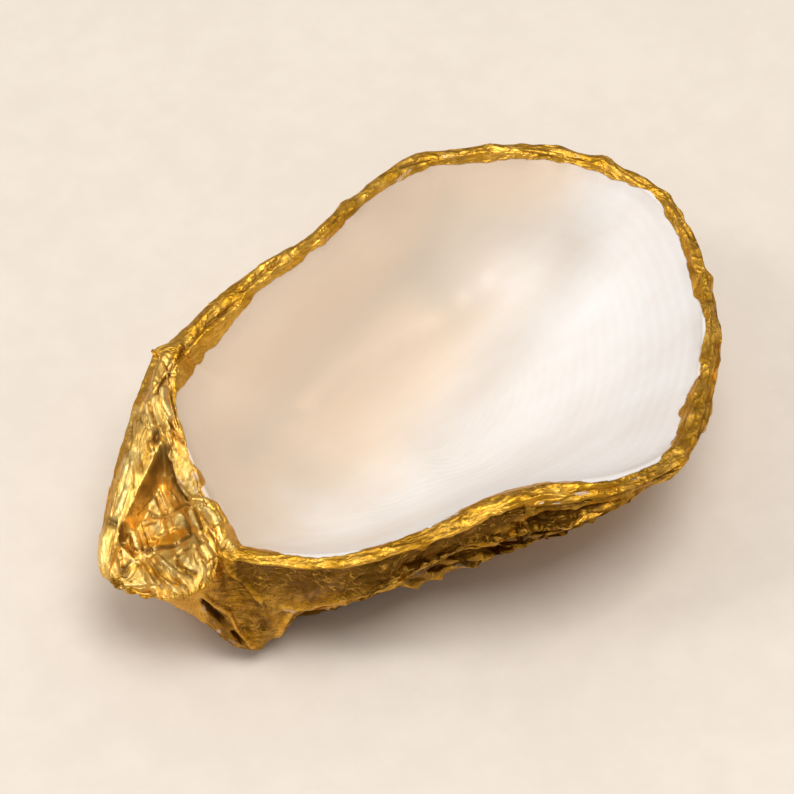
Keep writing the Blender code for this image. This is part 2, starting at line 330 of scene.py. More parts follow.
def rings_of_lip(station, rows):
    """Rings over the lip, from the outer to the inner rim: half a wave across, crowned in the middle."""
    outer = rim_of(EVEN)
    inner = softened(outer - outward_of(EVEN) * keyed(LIP_WIDTH, EVEN)[:, None], 17.0)
    inner = around(inner, station / STATIONS * len(EVEN))
    outer = rim_of(station)
    width = keyed(LIP_WIDTH, station)
    over = np.linspace(0, 1, rows)[:, None, None]
    rings = outer + (inner - outer) * (0.5 - 0.5 * np.cos(np.pi * over))
    rings[..., 2] += LIP_CROWN * width * np.sin(np.pi * over[..., 0])
    return rings


def rings_of_bowl(station, rows):
    """Rings from the inner rim to the deepest point. Lower rings are rounder. The height follows a power of
    the share of the way out, so the floor is broad and the wall turns up near the rim; on the front side it
    follows half a cosine wave in part, which leaves the wall there thick enough."""
    inner = rings_of_lip(EVEN, 2)[-1] - BOWL_DEEPEST
    flatness = keyed(BOWL_FLATNESS, EVEN)
    rings = []
    for share in np.linspace(1, 0, rows) ** 0.8:
        ring = softened(inner, 1.6 / (1 - share)) if share < 1 else inner
        climb = (1 - flatness) * share**3 + flatness * (0.5 - 0.5 * np.cos(np.pi * share))
        ring = BOWL_DEEPEST + np.stack([ring[:, 0] * share, ring[:, 1] * share, ring[:, 2] * climb], 1)
        rings.append(around(ring, station / STATIONS * len(EVEN)))
    return np.array(rings)


def normals_of(rings):
    """Unit normals of a grid of rings, by the cross product of its steps along and around."""
    along = np.gradient(rings, axis=0)
    closed = np.concatenate([rings[:, -1:], rings, rings[:, :1]], 1)
    aside = closed[:, 2:] - closed[:, :-2]
    normal = np.cross(along, aside)
    length = norm(normal, axis=2, keepdims=True)
    return normal / np.maximum(length, 1e-9)


shares = [np.arange(count) / count * (end - start) + start for start, end, count in STATION_SHARES]
station = np.concatenate(shares)
turn = np.linspace(0, np.pi / 2, OUTSIDE_ROWS)
outside = rings_of_outside(station, turn)
lip = rings_of_lip(station, LIP_ROWS)
bowl = rings_of_bowl(station, BOWL_ROWS)
rings = np.concatenate([outside[:0:-1], lip, bowl[1:]])
first_lip = len(outside) - 1
first_bowl = first_lip + LIP_ROWS

# Folds and creases of the leaf, each a line through places in the picture. A height above 0 is a rounded
# fold and one below 0 a sharp crease; the height is in millimetres and the half width in picture steps.
CORNER_FOLDS = (
    (-0.75, 2.9, ((240, 300), (222, 314), (205, 326), (190, 343), (181, 356), (168, 372), (160, 385),
     (151, 399))), (0.45, 3, ((245, 300), (223, 319), (206, 331), (191, 348), (178, 362), (171, 374))),
    (0.3, 2.5, ((227, 319), (215, 330), (204, 339))), (-0.3, 1.4, ((224, 316), (210, 327))),
    (0.35, 3, ((217, 303), (208, 312), (200, 322), (190, 329))),
    (-0.4, 2.5, ((216, 311), (206, 319), (196, 328))), (0.4, 2.5, ((181, 340), (176, 357))),
    (-0.3, 1.4, ((185, 340), (180, 353))), (0.35, 3, ((167, 351), (158, 368), (152, 386))),
    (-0.3, 1.8, ((171, 354), (163, 371), (156, 384))), (-0.35, 1.8, ((167, 375), (180, 375), (191, 371))),
    (0.7, 6, ((163, 386), (163, 400), (167, 412), (171, 420))),
    (-0.5, 1.8, ((158, 386), (159, 399), (162, 409), (167, 418), (173, 426), (177, 434))),
    (-0.35, 1.8, ((170, 386), (171, 400), (174, 415), (177, 428))),
    (0.55, 3.5, ((154, 392), (153, 405), (156, 416), (160, 427), (163, 440))),
    (-0.5, 1.4, ((150, 400), (151, 412), (155, 422), (158, 433))),
    (0.5, 3, ((147, 401), (148, 412), (151, 422), (154, 429))),
    (-0.5, 1.8, ((144, 402), (140, 411), (138, 420))), (0.35, 3, ((142, 412), (145, 421), (150, 431))),
    (-0.3, 1.4, ((140, 418), (144, 426), (149, 432))), (-1, 5, ((156, 430), (154, 437), (158, 440))),
    (0.6, 3, ((163, 426), (165, 439), (170, 449))), (0.4, 2.5, ((168, 431), (172, 445))),
    (-0.4, 1.4, ((166, 429), (168, 441), (171, 450))), (0.5, 3.5, ((150, 441), (153, 451))),
    (-0.6, 3.2, ((171, 421), (174, 428))), (-0.4, 2.2, ((173, 433), (184, 443))),
    (0.25, 3, ((172, 457), (175, 449))),
)
STRIP_FOLDS = (
    (-0.35, 2.2, ((127, 454), (132, 470), (133, 488))), (-0.35, 1.8, ((135, 449), (140, 461), (142, 472))),
    (0.3, 4, ((131, 460), (136, 477), (135, 488))), (-0.3, 1.8, ((131, 422), (131, 438), (126, 452))),
    (-0.25, 1.4, ((118, 480), (114, 500), (112, 516))), (0.4, 4, ((126, 488), (121, 503), (117, 516))),
    (-0.25, 1.4, ((128, 465), (123, 482), (120, 500))), (-0.9, 5, ((106, 520), (117, 524))),
    (0.35, 9, ((104, 533), (99, 556), (102, 580))), (-0.2, 2.2, ((115, 527), (111, 545), (109, 566))),
    (-0.9, 5, ((122, 524), (124, 545))), (0.7, 4.5, ((131, 530), (135, 541), (138, 552))),
    (-0.5, 1.8, ((127, 522), (130, 545), (135, 559))), (-0.35, 2.9, ((142, 522), (147, 545), (150, 553))),
    (0.4, 4, ((118, 545), (122, 560))),
)
PIT_FOLDS = (
    (-0.7, 2.2, ((170, 462), (170, 477), (177, 488), (188, 501))),
    (-0.35, 1.6, ((152, 493), (156, 504), (160, 514))), (-0.3, 1.4, ((157, 491), (163, 503), (167, 510))),
    (-0.35, 1.6, ((162, 489), (169, 502), (174, 508))), (-0.35, 1.6, ((167, 487), (175, 499), (181, 505))),
    (0.4, 3, ((176, 480), (186, 494), (192, 499))), (0.35, 2, ((152, 496), (146, 502), (138, 511))),
    (-0.5, 1.6, ((153, 500), (146, 507), (138, 516))),
    (-0.5, 1.8, ((147, 511), (154, 516), (161, 516), (171, 511), (185, 504), (191, 505))),
    (-0.5, 2.5, ((181, 512), (184, 522), (190, 533))), (-0.5, 2.2, ((191, 505), (196, 515), (201, 529))),
    (-0.4, 1.8, ((199, 508), (204, 518), (213, 530))), (0.3, 4, ((186, 510), (194, 526))),
    (0.5, 6, ((204, 507), (213, 516), (219, 526))), (0.5, 9, ((168, 518), (174, 531))),
    (0.45, 8, ((150, 524), (155, 540))), (-0.4, 1.4, ((163, 520), (164, 528), (160, 534))),
    (-0.35, 1.3, ((164, 528), (169, 538))), (-0.5, 2.5, ((139, 549), (160, 547), (173, 546), (190, 534))),
    (0.5, 4, ((190, 500), (205, 500), (218, 508), (225, 523))),
    (-0.4, 1.8, ((192, 532), (197, 541), (204, 543))), (-0.4, 1.8, ((200, 532), (208, 542))),
    (-0.45, 1.8, ((207, 529), (215, 540), (222, 549))), (0.6, 7, ((201, 545), (212, 560))),
    (-0.5, 1.6, ((194, 545), (201, 556), (206, 561))), (0.45, 4, ((226, 538), (237, 551))),
    (-0.4, 1.6, ((218, 536), (226, 550), (231, 560))), (-0.35, 1.6, ((233, 530), (239, 546))),
)
TIP_FOLDS = (
    (-0.5, 1.8, ((189, 547), (180, 552), (175, 558), (177, 565), (184, 569), (196, 573))),
    (-0.4, 1.8, ((200, 560), (204, 568), (203, 578), (199, 587))),
    (-0.45, 1.8, ((159, 552), (168, 563), (178, 570), (191, 577))),
    (-0.4, 1.8, ((153, 560), (160, 573), (172, 581), (186, 587))),
    (-0.4, 1.8, ((150, 570), (156, 581), (162, 589))),
    (0.6, 4, ((101, 583), (112, 591), (130, 590), (158, 588))), (-0.5, 8, ((124, 566), (122, 577))),
    (-0.35, 1.8, ((131, 561), (123, 568), (118, 576))), (-0.3, 1.4, ((138, 565), (128, 579))),
    (-0.3, 1.8, ((134, 559), (150, 556), (158, 551))), (0.35, 3, ((213, 561), (208, 576), (201, 591))),
)
FRONT_FOLDS = (
    (-1.3, 5, ((236, 564), (250, 569), (270, 571), (288, 573))),
    (0.4, 2.5, ((222, 560), (231, 572), (240, 581), (256, 596), (264, 604))),
    (0.6, 3, ((202, 595), (214, 604), (229, 613), (236, 627), (247, 638), (254, 649))),
    (-1.3, 5, ((204, 602), (214, 614), (224, 622))), (-0.9, 3.2, ((232, 632), (242, 642))),
    (-0.3, 2.2, ((262, 600), (270, 620))), (-0.6, 7, ((259, 623), (266, 629))),
    (0.5, 3, ((293, 610), (284, 621), (276, 637), (266, 652))),
    (-0.9, 2.9, ((289, 622), (305, 613), (322, 609), (345, 605))),
    (0.4, 3, ((281, 606), (293, 608), (320, 606), (345, 602))),
    (-0.35, 1.6, ((304, 571), (311, 579), (331, 581), (345, 579))),
    (-0.35, 1.6, ((309, 581), (316, 591), (314, 601))), (-0.3, 1.4, ((300, 582), (307, 592), (305, 601))),
    (0.45, 3, ((340, 592), (352, 584), (360, 578), (376, 572), (402, 569))),
    (-0.6, 2.5, ((345, 590), (357, 584), (368, 579), (388, 576), (408, 573), (428, 567))),
    (-0.6, 2.5, ((392, 583), (410, 575), (428, 569), (446, 564))),
    (-0.4, 1.8, ((372, 590), (380, 583), (392, 588))), (-0.4, 1.8, ((398, 586), (412, 580))),
    (0.4, 2.5, ((408, 587), (420, 581), (432, 576), (448, 573))),
    (0.4, 2.5, ((450, 543), (464, 548), (480, 546), (491, 538))),
    (-0.7, 2.9, ((431, 551), (450, 546), (470, 536), (488, 527))),
    (-0.5, 2.2, ((440, 561), (458, 557), (478, 553), (490, 550))),
    (0.4, 2.2, ((446, 567), (462, 565), (478, 564))),
    (0.45, 2.5, ((474, 555), (490, 558), (506, 561), (518, 559))), (0.5, 4.5, ((510, 554), (519, 553))),
    (-1.8, 5, ((491, 548), (503, 543), (516, 538), (528, 533))),
    (0.5, 2.5, ((494, 541), (512, 536), (526, 532), (541, 533), (550, 541))),
    (-1, 2.2, ((496, 540), (512, 533), (527, 529))),
    (0.5, 3, ((489, 534), (505, 528), (520, 526), (528, 518))),
    (-2, 5, ((527, 521), (545, 516), (562, 514), (577, 513))),
    (0.45, 2.5, ((530, 524), (548, 524), (570, 518), (590, 513))),
    (-0.6, 2.2, ((530, 537), (545, 532), (560, 530))), (0.4, 2.5, ((560, 538), (572, 532), (584, 524))),
    (-0.5, 2.2, ((566, 528), (580, 521), (596, 516))),
    (0.4, 2.2, ((532, 509), (550, 511), (566, 511), (580, 513), (596, 507))),
    (-0.6, 2.2, ((535, 507), (556, 507), (578, 505), (592, 500))),
    (-0.4, 1.8, ((590, 506), (604, 501), (622, 494), (640, 488))),
)
RIM_FOLDS = (
    (-0.6, 2.5, ((240, 293), (251, 283), (262, 273), (273, 263), (281, 256))),
    (0.35, 3, ((247, 278), (261, 266), (280, 255))), (-0.35, 2.2, ((261, 279), (270, 270), (278, 261))),
    (0.4, 2.5, ((285, 253), (287, 265))), (-0.35, 1.8, ((290, 250), (304, 240))),
    (0.3, 2.5, ((290, 253), (310, 239))), (-0.45, 2.2, ((311, 246), (321, 232), (334, 222), (341, 213))),
    (0.3, 3.5, ((313, 248), (323, 238), (336, 229))), (-0.3, 2.2, ((345, 218), (360, 207), (375, 196))),
    (-0.45, 2.2, ((401, 166), (415, 161), (431, 158))), (-0.35, 1.8, ((437, 150), (436, 161))),
    (-0.35, 1.8, ((458, 151), (459, 161))), (-0.4, 1.8, ((462, 154), (480, 149), (491, 147))),
    (-0.35, 1.8, ((503, 151), (521, 151), (541, 155), (556, 157))), (-0.35, 1.8, ((567, 150), (570, 159))),
    (-0.4, 2.2, ((570, 160), (586, 160), (594, 155))), (0.4, 2.5, ((597, 160), (599, 167))),
    (-0.5, 2.5, ((603, 167), (608, 171))), (-0.3, 1.8, ((617, 165), (628, 172), (640, 180))),
    (-0.5, 2.2, ((642, 179), (645, 183))), (-0.5, 2.2, ((666, 192), (668, 198))),
    (-0.3, 1.4, ((675, 210), (683, 224), (692, 238))), (-0.35, 1.4, ((692, 239), (686, 242))),
    (-0.45, 1.8, ((694, 232), (702, 249), (706, 266), (709, 283))),
    (0.3, 2, ((697, 245), (703, 262), (707, 284))), (-0.3, 1.4, ((697, 296), (707, 299), (716, 300))),
    (0.3, 2.5, ((707, 300), (711, 318))), (-0.3, 1.4, ((703, 345), (712, 344))),
    (-0.4, 1.8, ((697, 413), (694, 422))), (-0.3, 1.4, ((688, 405), (700, 390))),
    (-0.35, 1.4, ((676, 452), (684, 462))), (-0.45, 1.6, ((654, 481), (668, 475), (681, 467))),
    (0.35, 2, ((655, 484), (670, 478), (678, 472))), (-0.4, 1.6, ((650, 468), (652, 484))),
    (-0.35, 1.4, ((643, 472), (645, 485))), (-0.35, 1.4, ((636, 475), (638, 487))),
    (-0.3, 1.4, ((628, 478), (631, 489))), (-0.3, 1.4, ((531, 481), (533, 497))),
    (0.35, 3, ((463, 512), (462, 528))), (-0.3, 1.8, ((415, 540), (426, 535))),
    (-0.35, 1.8, ((388, 547), (402, 543), (414, 540))),
)

# Where the ribbon of the rim ends over the front wall: it stands proud of the wall below it
RIBBON_EDGE = (
    (234, 561), (250, 566), (290, 569), (320, 570), (350, 569), (363, 565), (378, 557), (392, 552),
    (425, 551), (433, 544), (442, 540), (460, 534), (480, 525), (496, 513), (511, 506), (530, 504),
    (556, 506), (580, 504), (600, 500),
)

# Where the leaf ends and the pearly lining begins, and where leaf is rubbed through to the pale shell
INNER_EDGE = (
    (176, 392), (174, 402), (179, 425), (182, 440), (185, 452), (190, 463), (198, 470), (203, 480),
    (199, 490), (204, 498), (212, 502), (219, 509), (223, 518), (228, 526), (240, 538), (252, 547),
    (275, 552), (285, 556), (310, 559), (345, 557), (368, 549), (400, 537), (430, 529), (455, 516),
    (465, 508), (500, 489), (532, 480), (560, 481), (590, 485), (605, 484), (632, 476), (655, 465),
    (672, 448), (683, 418), (680, 412), (688, 400), (693, 385), (700, 370), (703, 355), (707, 330),
    (706, 318), (700, 298), (694, 295), (694, 285), (686, 255), (672, 220), (665, 212), (660, 200),
    (652, 190), (625, 180), (612, 178), (602, 171), (585, 166), (560, 160), (520, 157), (500, 158),
    (480, 161), (445, 163), (430, 165), (400, 178), (380, 190), (350, 216), (325, 241), (311, 249),
    (295, 265), (287, 269), (270, 281), (262, 286), (255, 291), (250, 300), (232, 320), (226, 330),
    (212, 345), (203, 352), (200, 362), (182, 385),
)
RUBBED = (
    (4, ((194, 474), (199, 482), (196, 491))), (2, ((176, 476), (186, 488))),
    (1.6, ((540, 502), (560, 503))), (1.6, ((576, 494), (590, 493))), (2.5, ((633, 478), (648, 472))),
    (2.5, ((444, 156), (456, 157))), (2.5, ((574, 156), (585, 156))), (2.5, ((324, 236), (336, 228))),
    (2.5, ((202, 606), (207, 616))), (2.5, ((214, 624), (220, 634))), (2.5, ((230, 640), (240, 646))),
    (2, ((283, 606), (295, 609))), (1.5, ((446, 567), (478, 564))), (1.5, ((488, 560), (512, 561))),
    (2, ((590, 518), (600, 511))), (2, ((413, 168), (398, 180), (385, 189))),
)

# Painted shade in the leaf's deepest hollows and under the ribbon: depth, half width and line in the
# picture
SHADED = (
    (0.7, 8, ((166, 452), (158, 470), (147, 490))), (0.5, 5, ((147, 490), (132, 514))),
    (0.5, 4, ((171, 460), (172, 478), (184, 497))), (0.3, 1.6, ((112, 530), (110, 566))),
    (0.3, 3, ((157, 433), (160, 440))), (0.5, 3, ((138, 549), (172, 546), (190, 534))),
    (0.8, 4, ((238, 565), (262, 570), (300, 573), (340, 573))), (0.5, 5, ((206, 604), (226, 626))),
    (1, 4, ((494, 546), (528, 533))), (1.2, 4, ((530, 519), (577, 513))),
    (0.8, 3, ((345, 590), (400, 574))), (0.8, 3, ((290, 622), (345, 605))),
    (0.7, 3, ((432, 550), (488, 526))),
)

# Painted highlights on the hinge plate's facets that face the light, above 0, and painted shade, a deep
# orange, in the folds between them, below 0: how much, half width and line in the picture
PAINTED_FACET_LIGHT = (
    (0.9, 5, ((125, 462), (126, 480), (120, 503), (115, 519))), (0.8, 2.5, ((134, 448), (139, 458))),
    (0.8, 2.5, ((129, 452), (133, 465))), (0.7, 3, ((127, 430), (130, 418), (138, 408))),
    (0.8, 2.5, ((152, 500), (158, 511))), (1, 6.5, ((173, 516), (182, 520))),
    (1, 4.5, ((159, 524), (150, 535))), (0.8, 2.5, ((190, 512), (195, 524))),
    (1, 5, ((202, 508), (216, 521))), (0.8, 3, ((222, 537), (232, 548))),
    (0.8, 2.5, ((132, 532), (137, 546))), (0.7, 3.5, ((119, 546), (126, 556))),
    (0.8, 4.5, ((103, 536), (101, 562))), (0.7, 3.5, ((118, 588), (150, 584), (178, 588))),
    (0.6, 3, ((128, 563), (150, 553), (156, 550))), (0.6, 3, ((160, 560), (176, 576))),
    (0.8, 3.5, ((185, 560), (196, 568))), (0.6, 2.5, ((203, 566), (205, 580))),
    (1, 3.5, ((163, 392), (165, 405), (169, 416))), (0.7, 2.5, ((147, 408), (150, 422), (154, 430))),
    (0.6, 2.5, ((156, 398), (157, 412), (161, 424))), (0.9, 2.5, ((184, 470), (190, 486), (194, 492))),
    (0.7, 2, ((163, 498), (168, 507))), (0.7, 2, ((173, 492), (180, 501))),
    (0.6, 2, ((182, 488), (188, 496))), (-0.9, 5, ((146, 542), (166, 540), (184, 533))),
    (-0.7, 3, ((141, 524), (146, 540))), (-0.7, 2.5, ((186, 510), (189, 528))),
    (-0.5, 3.5, ((118, 576), (126, 569), (144, 565))), (-0.6, 3, ((198, 512), (203, 530))),
    (-0.5, 4, ((140, 566), (160, 574), (176, 583))), (-0.6, 3, ((124, 526), (128, 545), (134, 558))),
    (-0.5, 2.5, ((176, 560), (184, 572), (196, 576))), (-0.5, 3, ((150, 444), (146, 456), (139, 468))),
    (-0.5, 2.5, ((172, 424), (176, 440), (180, 452))), (-0.5, 2.5, ((207, 532), (216, 546), (224, 556))),
)

# Painted shade on the pearly lining, greyer, above 0, and painted light, whiter, below 0: how much, half
# width and line in the picture
PAINTED_BOWL_SHADING = (
    (0.3, 18, ((248, 450), (283, 407), (340, 345), (380, 305), (417, 265), (452, 205))),
    (0.6, 34, ((440, 285), (480, 235), (560, 235))), (0.46, 32, ((430, 445), (470, 405), (500, 355))),
    (0.2, 30, ((300, 470), (380, 505))), (0.25, 26, ((530, 330), (560, 290), (590, 250), (600, 215))),
    (0.1, 24, ((655, 320), (640, 420))), (0.12, 30, ((260, 440), (300, 480))),
    (-0.3, 30, ((215, 395), (240, 350), (300, 290), (360, 245))),
    (0.15, 6, ((296, 418), (345, 380), (400, 348))),
    (-0.3, 5, ((303, 405), (350, 370), (443, 313), (497, 273))),
)

# Soft swells and hollows of the bowl: height, half width and line in the picture
BOWL_SWELLS = (
    (-0.45, 30, ((240, 440), (300, 380), (330, 340), (400, 280), (430, 250), (460, 195))),
    (0.3, 22, ((285, 425), (360, 365), (440, 312), (500, 262))),
    (-0.3, 22, ((350, 420), (430, 360), (500, 320))), (-0.3, 24, ((680, 320), (620, 370), (560, 420))),
    (0.25, 20, ((610, 250), (560, 320), (530, 385))), (-0.2, 18, ((590, 215), (540, 280), (500, 340))),
)


def line_distance(seen, points):
    """Picture steps from each place to a line through the points, and the share of the way along it."""
    points = np.array(points, float)
    lengths = norm(np.diff(points, axis=0), axis=1)
    passed = np.concatenate([[0], np.cumsum(lengths)])
    nearest = np.full(seen.shape[:-1], np.inf)
    share = np.zeros(seen.shape[:-1])
    for start, end, length, before in zip(points[:-1], points[1:], lengths, passed):
        along = np.clip((seen - start) @ (end - start) / length**2, 0, 1)
        distance = norm(seen - start - along[..., None] * (end - start), axis=-1)
        share = np.where(distance < nearest, (before + along * length) / passed[-1], share)
        nearest = np.minimum(nearest, distance)
    return nearest, share


def folded(seen, folds):
    """The height of all the folds together: a rounded fold is 1 less the square of the distance over its
    half width, a crease 1 less the distance over its half width, both fading at the line's two ends."""
    height = np.zeros(seen.shape[:-1])
    for rise, width, points in folds:
        low, high = np.min(points, 0) - 2 * width, np.max(points, 0) + 2 * width
        close = np.all((seen > low) & (seen < high), -1)
        away, share = line_distance(seen[close], points)
        away = away / width
        shape = np.clip(1 - away**2, 0, 1) if rise > 0 else np.clip(1 - away, 0, 1) ** 1.3
        ends = ease(share / 0.12 + 0.3) * ease((1 - share) / 0.12 + 0.3)
        height[close] += rise * shape * ends
    return height


def swelled(seen, lines):
    """Bells along lines in the picture, added up. A row gives the height, the half width and the line."""
    return sum(rise * bump(line_distance(seen, points)[0], 0, width) for rise, width, points in lines)


def brushed(seen, lines, reach):
    """Bands along lines in the picture, added up: full near the line and eased off to nothing at reach
    half widths from it. A row gives how much, the half width and the line."""
    away = [line_distance(seen, points)[0] / width for _, width, points in lines]
    return sum(row[0] * ease(reach - distance) for row, distance in zip(lines, away))


def below_line(seen, points):
    """Picture steps from each place down to a line that runs from left to right, above 0 below the line."""
    across, down = np.array(points, float).T
    slant = np.interp(seen[..., 0], across, np.gradient(down, across))
    return (seen[..., 1] - np.interp(seen[..., 0], across, down)) / np.sqrt(1 + slant**2)


def inside_steps(seen, outline):
    """Picture steps from each place to a closed outline, above 0 inside it and below 0 outside."""
    ring = np.array(outline + outline[:1], float)
    away, _ = line_distance(seen, ring)
    crossings = np.zeros(seen.shape[:-1], int)
    for (x0, y0), (x1, y1) in zip(ring[:-1], ring[1:]):
        spans = (seen[..., 1] > min(y0, y1)) & (seen[..., 1] <= max(y0, y1))
        crossing = x0 + (seen[..., 1] - y0) * (x1 - x0) / (y1 - y0 if y1 != y0 else 1e-9)
        crossings += spans & (seen[..., 0] < crossing)
    return np.where(crossings % 2 == 1, away, -away)


# The tip of the foot, in the picture, reaches a millimetre further along than the rings alone take it
FOOT_TIP = (250, 650)
FOOT_REACH = 1.1
FOOT_SPREAD = 13.0

rows = np.arange(len(rings))[:, None]
from_foot = norm(picture_places(rings - BOX_MIDDLE) - FOOT_TIP, axis=-1)
on_foot = bump(from_foot, 0, FOOT_SPREAD) * (rows < first_lip)
rings = rings + RIGHT * FOOT_REACH * on_foot[..., None]

# Which of the surface the picture shows, and where each point falls in it
normal = normals_of(rings)
normal = normal * np.sign((normal[first_lip] * outward_of(station)).sum(1).mean())
seen = picture_places(rings - BOX_MIDDLE)
towards_eye = (normal * (EYE - rings + BOX_MIDDLE)).sum(2) / DISTANCE
facing = ease(towards_eye / 0.3 + 0.3)
unseen = ease(-towards_eye / 0.3 - 0.1)
on_plate = (station > FRONT_END - 0.6) | (station < 2.6)
on_front = (station > 13.5) & (station < FRONT_END + 0.5)

# How far a point lies on the gold's side of the leaf's inner edge, in millimetres: by the drawn edge on
# the lip, and by the way down over the surface in the bowl
STEPS_PER_MM = 7.1
EDGE_SHIFT = 2.0
ALL_GOLD = 8.0

stride = norm(np.diff(rings, axis=0), axis=2)
walked = np.concatenate([np.zeros((1, len(station))), np.cumsum(stride, 0)])
from_rim = walked - walked[first_lip]
down_bowl = walked - walked[first_bowl - 1]
gold_side = (EDGE_SHIFT - inside_steps(seen, INNER_EDGE)) / STEPS_PER_MM
gold_side = np.where(rows <= first_lip, ALL_GOLD, gold_side)
gold_side = np.where(down_bowl > 0, np.minimum(gold_side, 1.2 - 0.6 * down_bowl), gold_side)
gilded = ease(0.5 + gold_side)

# Creases of the pressed leaf: size in millimetres, seed, number of folds, and height in millimetres
LONG_CREASES = ((8.0, 21, 5, 0.17), (3.6, 22, 5, 0.1))
SMALL_CREASES = ((3.4, 23, 5, 0.06), (1.3, 24, 6, 0.025))
UNSEEN_CREASES = ((9.0, 27, 5, 0.22), (4.0, 28, 5, 0.1))
# Grooves that run on along the rim: how far over it from its outer edge in millimetres, and seed
GROOVES = ((-2.7, 61), (-1.5, 62), (-0.5, 63), (0.6, 64), (1.5, 65), (2.6, 66))
GROOVE_HALF = 0.36
GROOVE_DEPTH = 0.2
# Thin growth layers between the ledges, from the rim to the beak
LAYERS = 37


def creased(points, sizes):
    """Crumples of several sizes, added up, each times its height."""
    return sum(crumple(points, size, seed, waves) * height for size, seed, waves, height in sizes)


# The long creases run along the rim and the ledges, because their places are taken on a tube: round it goes
# the way along the rim, and along it the way down the shell, drawn out
arc = np.concatenate([[0], np.cumsum(norm(np.diff(rings[first_lip], axis=0), axis=1))])
whole = arc[-1] * len(arc) / (len(arc) - 1)
angle = arc / whole * 2 * np.pi * np.ones_like(walked)
rolled = np.stack([np.cos(angle) * whole / 6.28, np.sin(angle) * whole / 6.28, from_rim * 2.6], -1)
over_hinge = np.mod(station - FRONT_END + 4, STATIONS) / 16
near_hinge = np.clip(bump(over_hinge, 0.5, 0.62) * 1.5, 0, 1)
leafed = creased(rolled, LONG_CREASES) * ease((rows - 14) / 24) * (1 - 0.75 * near_hinge)
leafed = leafed + creased(rings, SMALL_CREASES)

grooves = np.zeros_like(from_rim)
for offset, seed in GROOVES:
    wander = offset + 0.45 * ripple(station, 0.0, seed, 12, 0.0)
    groove = np.clip(1 - np.abs(from_rim - wander) / GROOVE_HALF, 0, 1)
    grooves = grooves + groove * patches(rings, 6.0, seed)
grooves = grooves * (1 - 0.8 * near_hinge)
leafed = leafed - GROOVE_DEPTH * grooves

outer_turn = np.where(rows <= first_lip, turn[np.clip(first_lip - rows, 0, OUTSIDE_ROWS - 1)], 0.0)
layer = outer_turn / (np.pi / 2) * LAYERS + 0.8 * ripple(station, outer_turn, 41, 11, 5.0)
layer = np.mod(layer + 0.5 * patches(rings, 6.0, 42), 1)
layer = np.where(layer < 0.25, layer / 0.25, (1 - layer) / 0.75) * ease(outer_turn / 0.15)
seams = np.clip(1 - layer / 0.3, 0, 1) * on_front * ease(outer_turn / 0.15)
ended = ease((FRONT_END - 1.2 - station) / 1.5) * ease(station / 2 - 1)
ended = np.maximum(ended, unseen * ease(station / 0.8) * ease((FRONT_END - station) / 0.8))
layer_height = (0.35 + 0.25 * np.maximum(on_front, unseen)) * patches(rings, 9.0, 43)
layer = layer * layer_height * ended * ease(down_bowl / -2 - 1)
leafed = leafed + unseen * creased(rings, UNSEEN_CREASES)

# The drawn folds, and the wall that lies back under the rim's ribbon, from start to stop across the picture
RIBBON_START = 232
RIBBON_STOP = 612
RIBBON_STANDS = 1.1
FRONT_FOLD_SHARE = 1.4

front = folded(seen, FRONT_FOLDS) * FRONT_FOLD_SHARE * on_front * (rows < first_lip + 7)
pressed = folded(seen, CORNER_FOLDS + STRIP_FOLDS + PIT_FOLDS + TIP_FOLDS) * on_plate
pressed = pressed + front + folded(seen, RIM_FOLDS)
under_ribbon = below_line(seen, RIBBON_EDGE) * on_front
behind = ease(under_ribbon / 2.5) * (1 - ease((under_ribbon - 6) / 26)) * (rows < first_lip)
behind = behind * ease((seen[..., 0] - RIBBON_START) / 12) * ease((RIBBON_STOP - seen[..., 0]) / 40)
pressed = (pressed - RIBBON_STANDS * behind) * facing * gilded

in_bowl = rows >= first_bowl
soft = (patches(rings, 14.0, 31) - 0.5) * 0.12 + swelled(seen, BOWL_SWELLS) * in_bowl
rings = rings + normal * (leafed * gilded + pressed + soft * (1 - gilded) + layer)[..., None]
rings[..., 2] = np.maximum(rings[..., 2], 0)
rings[0] = rings[0].mean(0)
rings[-1] = rings[-1].mean(0)
rings = rings - BOX_MIDDLE

# What the finish asks at each point: how hollow the leaf is, for the painted shade there; the painted shade
# of the front wall; the painted light and shade of the plate's facets; how rubbed the leaf is; whether it
# lies on the hinge plate; and the pearl's tan of stain and painted shade, and its painted light and shade
WALL_CORNER = (206, 600)
STAIN_AND_SHADE_SLOPE = (3.1, -7.7, -3.65)

# How hollow each point is, for the painted shade in its creases, seams, grooves and drawn hollows
hollow = np.clip(-pressed / 0.6, 0, 1) + np.clip(0.2 - leafed * 2, 0, 0.5) + 0.5 * seams + 0.4 * grooves
hollow = hollow + brushed(seen, SHADED, 1.3) * facing * (rows < first_lip + 4)
hollow = np.minimum(hollow, 1.3)
# Painted shade: the front wall under the ribbon and the walls turned away from the eye are darkened, less
# on fold crests, and the whole front side a little
on_wall = ease((outer_turn - 0.16) / 0.3) * np.clip(on_front + ease((under_ribbon - 1) / 3), 0, 1)
wall_shade = np.maximum(ease(under_ribbon / 3) * facing * (rows < first_lip), on_wall * (1 - facing))
wall_shade = wall_shade * ease((seen[..., 0] - WALL_CORNER[0]) / 12 + (seen[..., 1] - WALL_CORNER[1]) / 40)
wall_shade = wall_shade * (1 - 0.75 * np.clip(pressed / 0.35, 0, 1))
wall_shade = np.maximum(wall_shade, 0.22 * on_front * ease((station - 13.5) / 2))
on_hinge = ease((station - FRONT_END) / 0.8 + 0.2) * ease((8.2 - station + FRONT_END) / 1.2)
on_hinge = on_hinge * (rows < first_lip + 9)
